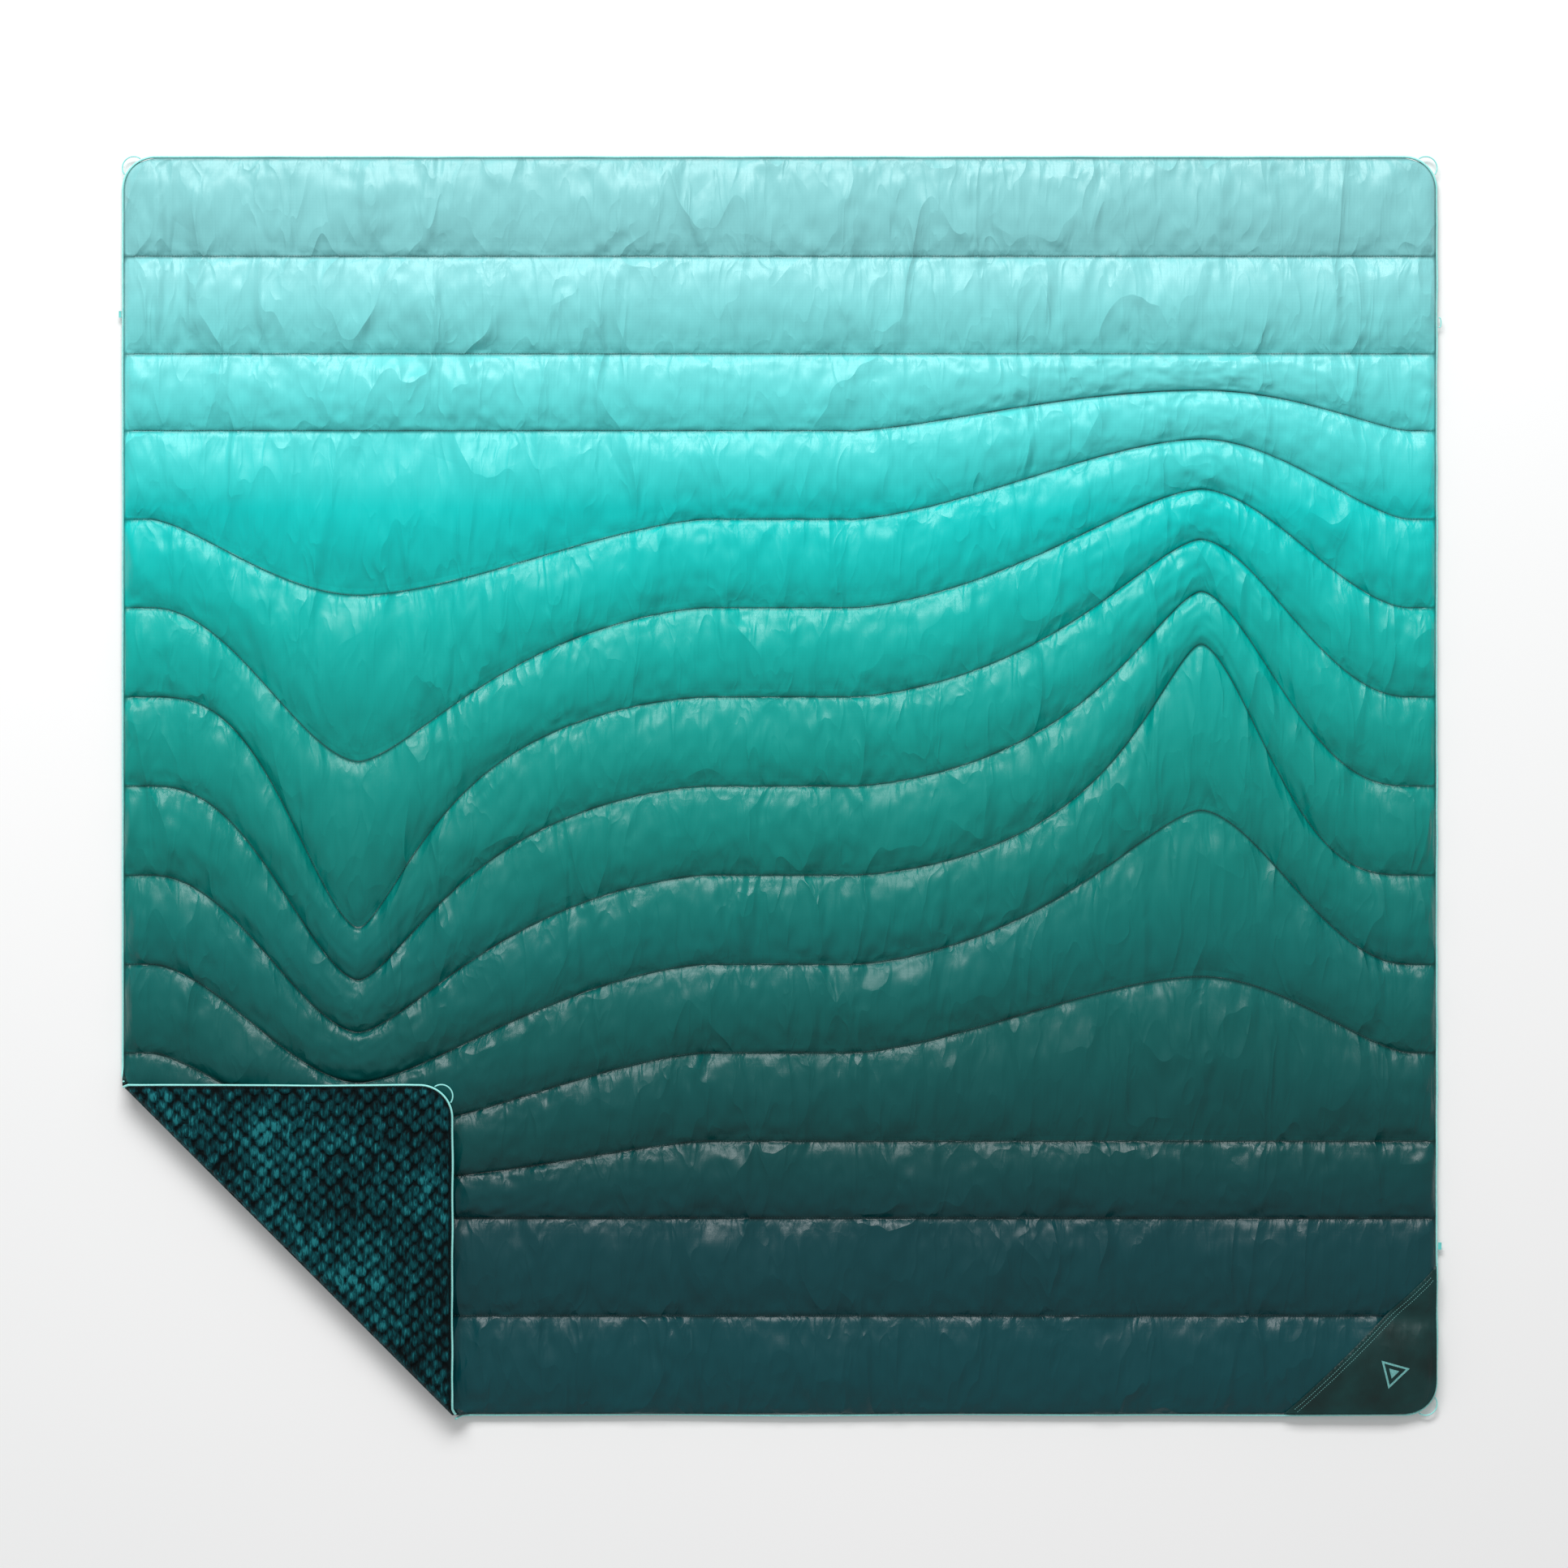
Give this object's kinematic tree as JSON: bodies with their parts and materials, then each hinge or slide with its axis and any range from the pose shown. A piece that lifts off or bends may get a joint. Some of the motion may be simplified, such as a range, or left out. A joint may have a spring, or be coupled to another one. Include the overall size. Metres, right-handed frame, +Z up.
{
  "type": "camp blanket",
  "caption": "Quilted insulated blanket with a pile lining, lying flat with one corner folded over to show the lining, and cord loops at its corners.",
  "frame": {"origin": "on the ground under the middle of the blanket's outline", "axes": "+X along the long edge and the seams, +Y towards the pale edge, +Z up from the ground"},
  "size_m": [2.0341, 1.9415, 0.048],
  "materials": {
    "shell": "ripstop nylon, dyed from pale aqua at one edge through teal to deep green-blue at the other",
    "insulation": "hollow-fibre fill",
    "lining": "high-pile sherpa fleece",
    "piping": "corded edge binding",
    "thread": "polyester sewing thread",
    "cord": "braided cord",
    "patch": "plain woven nylon",
    "tab": "folded webbing"
  },
  "bodies": {
    "blanket": {"main_shell": "shell", "main_insulation": "insulation", "main_lining": "lining", "main_piping": "piping", "main_seam_01": "thread", "main_seam_02": "thread", "main_seam_03": "thread", "main_seam_04": "thread", "main_seam_05": "thread", "main_seam_06": "thread", "main_seam_07": "thread", "main_seam_08": "thread", "main_seam_09": "thread", "main_seam_10": "thread", "main_seam_11": "thread", "main_seam_12": "thread", "main_seam_13": "thread", "corner_patch": "patch", "patch_stitch_1": "thread", "patch_stitch_2": "thread", "patch_emblem": "thread", "clip_tab": "tab", "label_tab": "tab"},
    "folded_corner": {"corner_shell": "shell", "corner_insulation": "insulation", "corner_lining": "lining", "corner_piping": "piping", "corner_seam_11": "thread", "corner_seam_12": "thread", "corner_seam_13": "thread"},
    "loop_upper_left": {"loop_upper_left": "cord"},
    "loop_upper_right": {"loop_upper_right": "cord"},
    "loop_lower_right": {"loop_lower_right": "cord"},
    "loop_folded_corner": {"loop_folded_corner": "cord"},
    "cape_loop": {"cape_loop": "cord"}
  },
  "joints": [
    {"name": "corner_fold", "type": "hinge", "parent": "blanket", "child": "folded_corner", "pos_m": [-0.75525, -0.71225, 0.024], "axis": [0.7071, -0.7071, 0], "range_deg": [0, 180]},
    {"name": "loop_upper_left_swing", "type": "hinge", "parent": "blanket", "child": "loop_upper_left", "pos_m": [-0.99536, 0.95236, 0.0075], "axis": [0.7071, 0.7071, 0], "range_deg": [-20, 80]},
    {"name": "loop_upper_right_swing", "type": "hinge", "parent": "blanket", "child": "loop_upper_right", "pos_m": [0.99536, 0.95236, 0.0075], "axis": [0.7071, -0.7071, 0], "range_deg": [-20, 80]},
    {"name": "loop_lower_right_swing", "type": "hinge", "parent": "blanket", "child": "loop_lower_right", "pos_m": [0.99536, -0.95236, 0.0075], "axis": [-0.7071, -0.7071, 0], "range_deg": [-20, 80]},
    {"name": "loop_folded_corner_swing", "type": "hinge", "parent": "folded_corner", "child": "loop_folded_corner", "pos_m": [-0.51514, -0.47214, 0.0405], "axis": [0.7071, -0.7071, 0], "range_deg": [-80, 20]},
    {"name": "cape_loop_swing", "type": "hinge", "parent": "blanket", "child": "cape_loop", "pos_m": [1.0132, 0.7125, 0.0075], "axis": [0, -1, 0], "range_deg": [-60, 80]}
  ]
}
